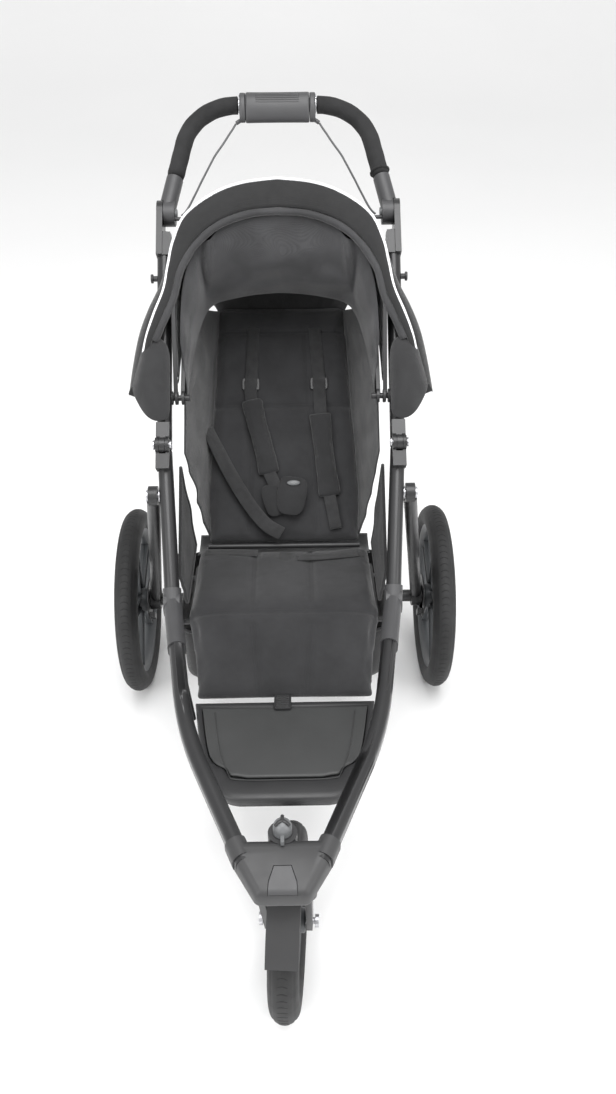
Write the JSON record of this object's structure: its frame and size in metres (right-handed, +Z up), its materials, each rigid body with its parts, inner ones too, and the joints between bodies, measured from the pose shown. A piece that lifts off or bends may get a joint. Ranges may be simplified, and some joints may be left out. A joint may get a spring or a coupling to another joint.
{
  "type": "jogging stroller",
  "caption": "Three-wheeled folding jogging stroller with a swivelling front wheel, large rear wheels, padded seat with harness, canopy, footrest, basket and tilting handlebar.",
  "frame": {"origin": "on the ground under the middle of the whole stroller, standing ready to push", "axes": "+Z up, -Y towards the front wheel, +X towards the left hand of a child sitting in it"},
  "size_m": [0.69, 1.2029, 1.1786],
  "materials": {
    "tube_black": "satin",
    "nose_plastic": "fine texture",
    "black_plastic": "satin",
    "grey_plastic": "satin",
    "steel": "brushed",
    "fabric": "woven",
    "canopy_cloth": "woven",
    "webbing": "webbing",
    "foam": "matt",
    "tyre": "matt",
    "rim_plastic": "satin",
    "cable": "satin",
    "bright_trim": "polished"
  },
  "bodies": {
    "frame": {"nose_yoke": "nose_plastic", "nose_inset": "nose_plastic", "swivel_bushes": "steel", "lower_tube_left": "tube_black", "lower_tube_right": "tube_black", "elbows": "nose_plastic", "mid_tubes": "tube_black", "fold_hinges": "tube_black", "hinge_pins": "steel", "side_hangers": "tube_black", "seat_board": "black_plastic", "seat_cushion": "fabric", "calf_panel": "fabric", "side_panels": "fabric", "footrest_tray": "nose_plastic", "footrest_lid": "nose_plastic", "footrest_latch": "black_plastic", "basket": "fabric", "waist_belt": "webbing"},
    "handle_frame": {"upper_tube_left": "tube_black", "upper_tube_right": "tube_black", "canopy_rear": "canopy_cloth", "canopy_flaps": "canopy_cloth", "canopy_pivots": "black_plastic"},
    "canopy_mid": {"mid_bow": "tube_black", "canopy_middle": "canopy_cloth"},
    "canopy_front": {"front_bow": "tube_black", "canopy_front": "canopy_cloth"},
    "handlebar": {"handlebar_tube": "tube_black", "foam_grips": "foam", "knuckles": "nose_plastic", "grip_core": "black_plastic", "grip_trim": "bright_trim", "brake_cable_left": "cable", "brake_cable_right": "cable"},
    "brake_twist": {"twist_grip": "black_plastic"},
    "tilt_button_left": {"tilt_button_left": "grey_plastic"},
    "tilt_button_right": {"tilt_button_right": "grey_plastic"},
    "seat_back": {"back_hinge": "black_plastic", "back_pad": "fabric", "harness_straps": "webbing", "shoulder_pads": "fabric", "harness_hardware": "black_plastic", "buckle_cover": "fabric"},
    "rear_legs": {"rear_legs": "tube_black", "rear_axle": "tube_black", "brake_plates": "black_plastic"},
    "brake_pedal": {"brake_pedal": "black_plastic"},
    "rear_wheel_left": {"rear_tyre_left": "tyre", "rear_rim_left": "rim_plastic", "rear_hub_left": "steel"},
    "rear_wheel_right": {"rear_tyre_right": "tyre", "rear_rim_right": "rim_plastic", "rear_hub_right": "steel"},
    "fork": {"fork": "tube_black", "fork_fender": "nose_plastic", "front_axle": "steel"},
    "front_wheel": {"front_tyre": "tyre", "front_rim": "rim_plastic"},
    "swivel_lock": {"swivel_lock": "grey_plastic"}
  },
  "joints": [
    {"name": "fold", "type": "hinge", "parent": "frame", "child": "handle_frame", "pos_m": [0, 0.08975, 0.70016], "axis": [1, 0, 0], "range_deg": [0, 135]},
    {"name": "leg_fold", "type": "hinge", "parent": "frame", "child": "rear_legs", "pos_m": [0, 0.06239, 0.61593], "axis": [1, 0, 0], "range_deg": [-60, 0]},
    {"name": "back_fold", "type": "hinge", "parent": "frame", "child": "seat_back", "pos_m": [0, 0.17549, 0.434], "axis": [1, 0, 0], "range_deg": [0, 104.62]},
    {"name": "canopy", "type": "hinge", "parent": "handle_frame", "child": "canopy_mid", "pos_m": [0, 0.17759, 0.74647], "axis": [-1, 0, 0], "range_deg": [-18, 3]},
    {"name": "canopy_front", "type": "hinge", "parent": "canopy_mid", "child": "canopy_front", "pos_m": [0, 0.17759, 0.74647], "axis": [-1, 0, 0], "range_deg": [-18, 3]},
    {"name": "handle_tilt", "type": "hinge", "parent": "handle_frame", "child": "handlebar", "pos_m": [0, 0.41738, 1.00005], "axis": [1, 0, 0], "range_deg": [-40, 35]},
    {"name": "brake_turn", "type": "hinge", "parent": "handlebar", "child": "brake_twist", "pos_m": [0, 0.57851, 1.15565], "axis": [1, 0, 0], "range_deg": [0, 28], "stiffness_Nm_per_rad": 0.8},
    {"name": "tilt_button_left_press", "type": "slide", "parent": "handlebar", "child": "tilt_button_left", "axis": [-1, 0, 0], "range_m": [0, 0.003], "stiffness_N_per_m": 900},
    {"name": "tilt_button_right_press", "type": "slide", "parent": "handlebar", "child": "tilt_button_right", "axis": [1, 0, 0], "range_m": [0, 0.003], "stiffness_N_per_m": 900},
    {"name": "pedal_press", "type": "hinge", "parent": "rear_legs", "child": "brake_pedal", "pos_m": [0, 0.32749, 0.198], "axis": [1, 0, 0], "range_deg": [-25, 0]},
    {"name": "rear_spin_left", "type": "hinge", "parent": "rear_legs", "child": "rear_wheel_left", "pos_m": [-0.3215, 0.32749, 0.198], "axis": [1, 0, 0], "continuous": true},
    {"name": "rear_spin_right", "type": "hinge", "parent": "rear_legs", "child": "rear_wheel_right", "pos_m": [0.3215, 0.32749, 0.198], "axis": [1, 0, 0], "continuous": true},
    {"name": "front_swivel", "type": "hinge", "parent": "frame", "child": "fork", "pos_m": [0, -0.51751, 0.428], "axis": [0, 0, 1], "continuous": true},
    {"name": "front_spin", "type": "hinge", "parent": "fork", "child": "front_wheel", "pos_m": [0.00453, -0.45267, 0.149], "axis": [0.9976, -0.0698, 0], "continuous": true},
    {"name": "lock_turn", "type": "hinge", "parent": "frame", "child": "swivel_lock", "pos_m": [0, -0.51751, 0.428], "axis": [0, 0, 1], "range_deg": [0, 90]}
  ],
  "couplings": [
    {"joint": "leg_fold", "follows": "fold", "ratio": -0.44444},
    {"joint": "back_fold", "follows": "fold", "ratio": 0.775},
    {"joint": "canopy", "follows": "canopy_front", "ratio": 1}
  ]
}
